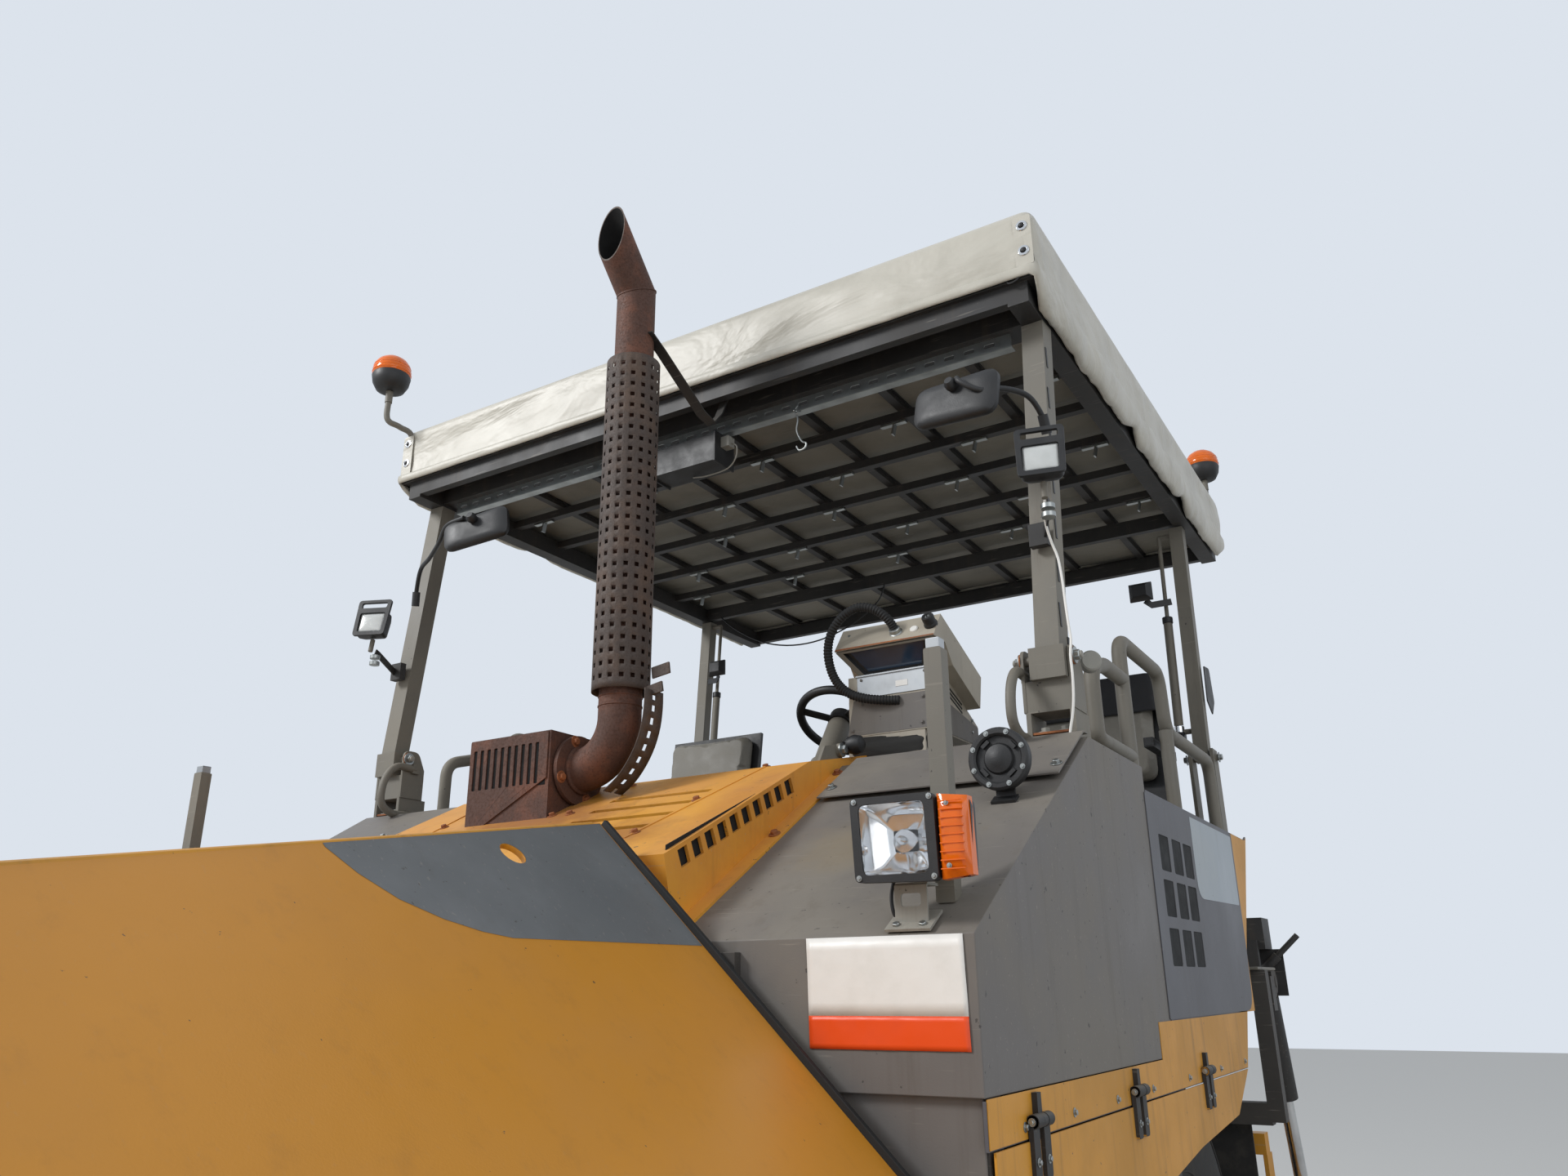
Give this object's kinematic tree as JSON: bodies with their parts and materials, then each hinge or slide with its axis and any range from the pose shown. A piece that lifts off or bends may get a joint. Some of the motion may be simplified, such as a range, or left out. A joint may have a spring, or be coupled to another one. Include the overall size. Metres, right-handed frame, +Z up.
{
  "type": "asphalt paver",
  "caption": "Wheeled asphalt paver with folded-up hopper wings, sun canopy over an open operator deck, augers and a floating extending screed.",
  "frame": {"origin": "bottom centre of the bounding box, on the ground", "axes": "+Z up, -Y is the front (hopper), +X is the machine's left side"},
  "size_m": [2.5864, 6.2, 3.87],
  "materials": {
    "frame_steel": "dark oily steel, worn",
    "yellow_paint": "satin yellow enamel, chipped and stained",
    "grey_paint": "satin warm grey enamel",
    "black_paint": "matt black enamel",
    "rusty_steel": "heat-rusted sheet steel",
    "rubber": "dusty black rubber",
    "cover_fabric": "matt coated fabric",
    "seat_vinyl": "matt vinyl over foam",
    "amber_plastic": "clear amber plastic",
    "bright_steel": "worn bright steel"
  },
  "bodies": {
    "tractor": {"main_frame": "frame_steel", "hopper_base": "frame_steel", "outriggers": "frame_steel", "frame_brackets": "frame_steel", "conveyors": "frame_steel", "push_beam": "yellow_paint", "engine_block": "frame_steel", "front_cowls": "grey_paint", "side_shells": "grey_paint", "hood": "yellow_paint", "exhaust_stack": "rusty_steel", "exhaust_guard": "rusty_steel", "operator_deck": "frame_steel", "console": "grey_paint", "steering_wheel": "black_paint", "seat_frames": "black_paint", "seat_cushions": "seat_vinyl", "guard_rails": "black_paint", "front_bogies": "frame_steel", "rear_axle": "frame_steel", "flap_hinges": "black_paint", "mudflaps": "rubber", "rear_box": "black_paint", "canopy_posts": "grey_paint", "roof_grid": "black_paint", "canopy_cover": "cover_fabric", "lamps": "black_paint", "mirrors": "black_paint", "beacons": "amber_plastic", "auger_frame": "yellow_paint"},
    "wing_l": {"wing_l": "yellow_paint"},
    "wing_barrel_l": {"wing_barrel_l": "bright_steel"},
    "wing_rod_l": {"wing_rod_l": "bright_steel"},
    "push_roller_l": {"push_roller_l": "bright_steel"},
    "knuckle_l1": {"knuckle_l1": "bright_steel"},
    "front_wheel_l1": {"front_wheel_l1": "rubber"},
    "knuckle_l2": {"knuckle_l2": "bright_steel"},
    "front_wheel_l2": {"front_wheel_l2": "rubber"},
    "drive_wheel_l": {"rear_rim_l": "yellow_paint", "rear_tyre_l": "rubber"},
    "side_flap_l": {"side_flap_l": "yellow_paint"},
    "auger_l": {"auger_l": "bright_steel"},
    "screed_extension_l": {"screed_extension_l": "yellow_paint"},
    "wing_r": {"wing_r": "yellow_paint"},
    "wing_barrel_r": {"wing_barrel_r": "bright_steel"},
    "wing_rod_r": {"wing_rod_r": "bright_steel"},
    "push_roller_r": {"push_roller_r": "bright_steel"},
    "knuckle_r1": {"knuckle_r1": "bright_steel"},
    "front_wheel_r1": {"front_wheel_r1": "rubber"},
    "knuckle_r2": {"knuckle_r2": "bright_steel"},
    "front_wheel_r2": {"front_wheel_r2": "rubber"},
    "drive_wheel_r": {"rear_rim_r": "yellow_paint", "rear_tyre_r": "rubber"},
    "side_flap_r": {"side_flap_r": "yellow_paint"},
    "auger_r": {"auger_r": "bright_steel"},
    "screed_extension_r": {"screed_extension_r": "yellow_paint"},
    "screed": {"tow_arms": "yellow_paint", "screed_body": "yellow_paint"},
    "lift_barrels": {"lift_barrels": "bright_steel"},
    "lift_rods": {"lift_rods": "bright_steel"}
  },
  "joints": [
    {"name": "wing_l_fold", "type": "hinge", "parent": "tractor", "child": "wing_l", "pos_m": [0.8, -2.05, 0.64], "axis": [0, 1, 0], "range_deg": [0, 54]},
    {"name": "wing_barrel_l_swing", "type": "hinge", "parent": "tractor", "child": "wing_barrel_l", "pos_m": [0.87, -2.58, 0.3], "axis": [0, 1, 0], "range_deg": [0, 32.5]},
    {"name": "wing_rod_l_stroke", "type": "slide", "parent": "wing_barrel_l", "child": "wing_rod_l", "axis": [0.3124, 0, 0.95], "range_m": [-0.225, 0]},
    {"name": "push_roller_l_spin", "type": "hinge", "parent": "tractor", "child": "push_roller_l", "pos_m": [0.55, -3.01, 0.48], "axis": [1, 0, 0], "continuous": true},
    {"name": "steer_l1", "type": "hinge", "parent": "tractor", "child": "knuckle_l1", "pos_m": [0.735, -2.08, 0.28], "axis": [0, 0, 1], "range_deg": [-18, 18]},
    {"name": "front_wheel_l1_spin", "type": "hinge", "parent": "knuckle_l1", "child": "front_wheel_l1", "pos_m": [0.95, -2.08, 0.28], "axis": [1, 0, 0], "continuous": true},
    {"name": "steer_l2", "type": "hinge", "parent": "tractor", "child": "knuckle_l2", "pos_m": [0.735, -1.42, 0.28], "axis": [0, 0, 1], "range_deg": [-18, 18]},
    {"name": "front_wheel_l2_spin", "type": "hinge", "parent": "knuckle_l2", "child": "front_wheel_l2", "pos_m": [0.95, -1.42, 0.28], "axis": [1, 0, 0], "continuous": true},
    {"name": "drive_wheel_l_spin", "type": "hinge", "parent": "tractor", "child": "drive_wheel_l", "pos_m": [0.855, 0.75, 0.69], "axis": [1, 0, 0], "continuous": true},
    {"name": "side_flap_l_lift", "type": "hinge", "parent": "tractor", "child": "side_flap_l", "pos_m": [1.262, -0.15, 1.383], "axis": [0, -1, 0], "range_deg": [0, 85]},
    {"name": "auger_l_spin", "type": "hinge", "parent": "tractor", "child": "auger_l", "pos_m": [0.6, 1.85, 0.35], "axis": [1, 0, 0], "continuous": true},
    {"name": "screed_extension_l_slide", "type": "slide", "parent": "screed", "child": "screed_extension_l", "axis": [1, 0, 0], "range_m": [0, 1.25]},
    {"name": "wing_r_fold", "type": "hinge", "parent": "tractor", "child": "wing_r", "pos_m": [-0.8, -2.05, 0.64], "axis": [0, -1, 0], "range_deg": [0, 54]},
    {"name": "wing_barrel_r_swing", "type": "hinge", "parent": "tractor", "child": "wing_barrel_r", "pos_m": [-0.87, -2.58, 0.3], "axis": [0, -1, 0], "range_deg": [0, 32.5]},
    {"name": "wing_rod_r_stroke", "type": "slide", "parent": "wing_barrel_r", "child": "wing_rod_r", "axis": [-0.3124, 0, 0.95], "range_m": [-0.225, 0]},
    {"name": "push_roller_r_spin", "type": "hinge", "parent": "tractor", "child": "push_roller_r", "pos_m": [-0.55, -3.01, 0.48], "axis": [1, 0, 0], "continuous": true},
    {"name": "steer_r1", "type": "hinge", "parent": "tractor", "child": "knuckle_r1", "pos_m": [-0.735, -2.08, 0.28], "axis": [0, 0, 1], "range_deg": [-18, 18]},
    {"name": "front_wheel_r1_spin", "type": "hinge", "parent": "knuckle_r1", "child": "front_wheel_r1", "pos_m": [-0.95, -2.08, 0.28], "axis": [1, 0, 0], "continuous": true},
    {"name": "steer_r2", "type": "hinge", "parent": "tractor", "child": "knuckle_r2", "pos_m": [-0.735, -1.42, 0.28], "axis": [0, 0, 1], "range_deg": [-18, 18]},
    {"name": "front_wheel_r2_spin", "type": "hinge", "parent": "knuckle_r2", "child": "front_wheel_r2", "pos_m": [-0.95, -1.42, 0.28], "axis": [1, 0, 0], "continuous": true},
    {"name": "drive_wheel_r_spin", "type": "hinge", "parent": "tractor", "child": "drive_wheel_r", "pos_m": [-0.855, 0.75, 0.69], "axis": [1, 0, 0], "continuous": true},
    {"name": "side_flap_r_lift", "type": "hinge", "parent": "tractor", "child": "side_flap_r", "pos_m": [-1.262, -0.15, 1.383], "axis": [0, 1, 0], "range_deg": [0, 85]},
    {"name": "auger_r_spin", "type": "hinge", "parent": "tractor", "child": "auger_r", "pos_m": [-0.6, 1.85, 0.35], "axis": [1, 0, 0], "continuous": true},
    {"name": "screed_extension_r_slide", "type": "slide", "parent": "screed", "child": "screed_extension_r", "axis": [-1, 0, 0], "range_m": [0, 1.25]},
    {"name": "screed_lift", "type": "hinge", "parent": "tractor", "child": "screed", "pos_m": [0, -0.65, 0.45], "axis": [1, 0, 0], "range_deg": [0, 6]},
    {"name": "lift_barrels_swing", "type": "hinge", "parent": "tractor", "child": "lift_barrels", "pos_m": [0, 1.86, 1.6], "axis": [1, 0, 0], "range_deg": [0, 3.6]},
    {"name": "lift_rods_stroke", "type": "slide", "parent": "lift_barrels", "child": "lift_rods", "axis": [0, 0.2873, -0.9578], "range_m": [-0.29, 0]}
  ],
  "couplings": [
    {"joint": "wing_barrel_l_swing", "follows": "wing_l_fold", "ratio": 0.59},
    {"joint": "wing_rod_l_stroke", "follows": "wing_l_fold", "m_per_rad": -0.2338},
    {"joint": "steer_l2", "follows": "steer_l1", "ratio": 1},
    {"joint": "wing_barrel_r_swing", "follows": "wing_r_fold", "ratio": 0.59},
    {"joint": "wing_rod_r_stroke", "follows": "wing_r_fold", "m_per_rad": -0.2338},
    {"joint": "steer_r1", "follows": "steer_l1", "ratio": 1},
    {"joint": "steer_r2", "follows": "steer_l1", "ratio": 1},
    {"joint": "lift_barrels_swing", "follows": "screed_lift", "ratio": 0.57},
    {"joint": "lift_rods_stroke", "follows": "screed_lift", "m_per_rad": -2.7445}
  ]
}
